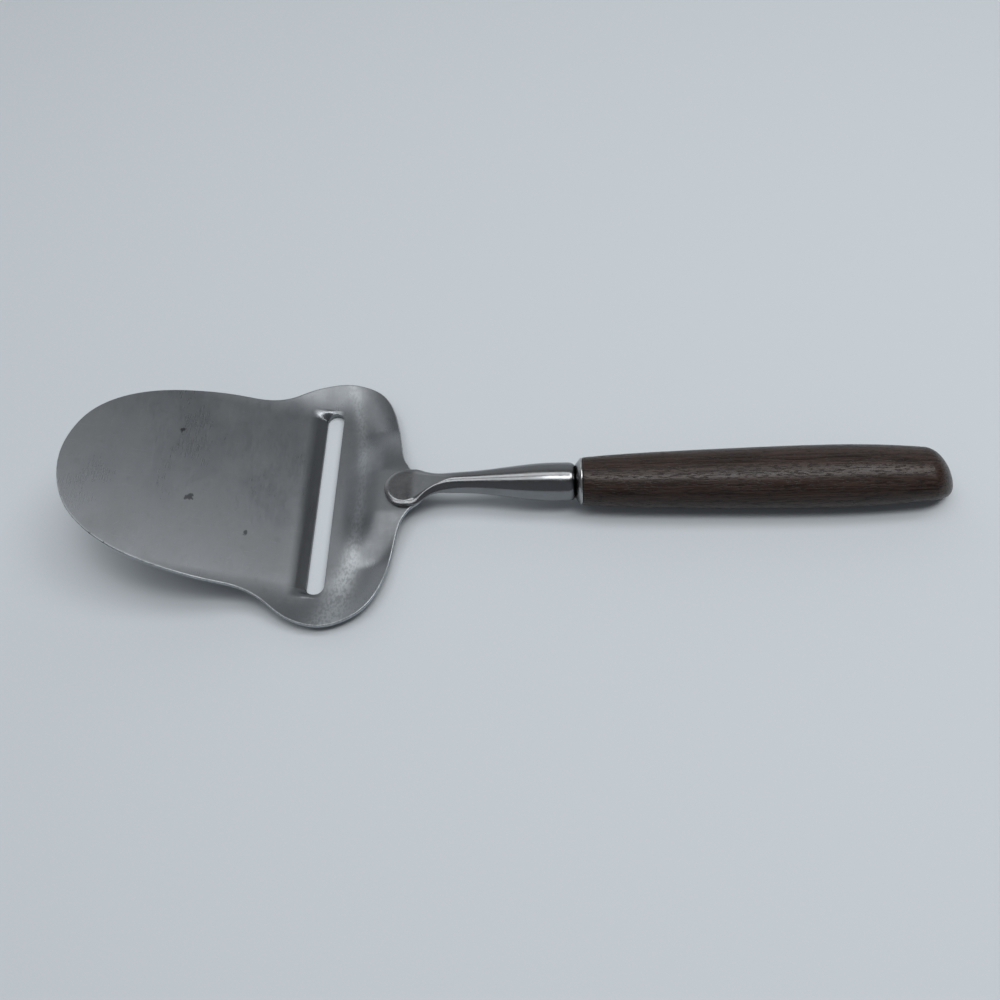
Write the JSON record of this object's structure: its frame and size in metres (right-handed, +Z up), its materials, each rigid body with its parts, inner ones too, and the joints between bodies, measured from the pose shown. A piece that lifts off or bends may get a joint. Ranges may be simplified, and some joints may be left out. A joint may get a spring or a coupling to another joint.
{
  "type": "cheese slicer",
  "caption": "Cheese slicer with a pressed steel blade, raised cutting slot, round-necked steel shank, collar and oval dark wooden handle.",
  "frame": {"origin": "on the table plane under the middle of the whole length", "axes": "+X along the slicer from the spatula's tip to the butt of the handle, +Y across it, +Z up from the table it rests on"},
  "size_m": [0.2398, 0.0806, 0.0286],
  "materials": {
    "blade_steel": "satin stainless sheet, worn by use",
    "shank_steel": "hand polished forging",
    "collar_steel": "turned and polished",
    "handle_wood": "dark hardwood, worn satin oil",
    "cured_glue": "dull cured resin"
  },
  "bodies": {
    "root": {"blade_plate": "blade_steel", "shank": "shank_steel", "weld_nuggets": "shank_steel", "collar": "collar_steel", "handle": "handle_wood", "tang_adhesive": "cured_glue"}
  },
  "joints": []
}
